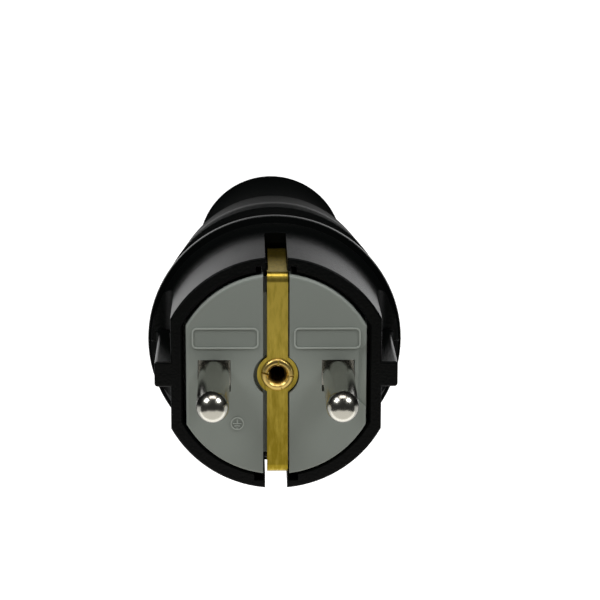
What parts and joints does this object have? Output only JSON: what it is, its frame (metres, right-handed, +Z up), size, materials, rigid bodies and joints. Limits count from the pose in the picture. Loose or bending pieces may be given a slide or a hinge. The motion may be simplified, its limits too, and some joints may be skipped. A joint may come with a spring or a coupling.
{
  "type": "type f plug",
  "caption": "Straight rewirable type F mains plug: round pins, earth strip across a grey insert, black two-part housing with flange, grip and bulb-shaped tail.",
  "frame": {"origin": "centre of the plug's bounding box in X and Y, on the plane it stands on", "axes": "+Z up and the way the pins point, X across the two pins, +Y towards the plain half shell"},
  "size_m": [0.0412, 0.0412, 0.1194],
  "materials": {
    "housing": "fine matt moulding grain",
    "insert": "smooth matt",
    "retainer": "matt",
    "nickel": "nickel plated",
    "strip_brass": "rolled, dulled",
    "rivet_brass": "rolled over, dulled",
    "screw_steel": "zinc plated"
  },
  "bodies": {
    "root": {"plain_shell": "housing", "screw_shell": "housing", "face_insert": "insert", "pin_retainer": "retainer", "left_pin": "nickel", "right_pin": "nickel", "earth_strip": "strip_brass", "earth_rivet": "rivet_brass", "earth_terminal": "strip_brass", "earth_washer": "screw_steel", "earth_screw": "screw_steel", "left_terminal_screw": "screw_steel", "right_terminal_screw": "screw_steel", "cord_clamp": "screw_steel", "left_clamp_screw": "screw_steel", "right_clamp_screw": "screw_steel", "front_left_shell_screw": "screw_steel", "front_right_shell_screw": "screw_steel", "rear_left_shell_screw": "screw_steel", "rear_right_shell_screw": "screw_steel"}
  },
  "joints": []
}
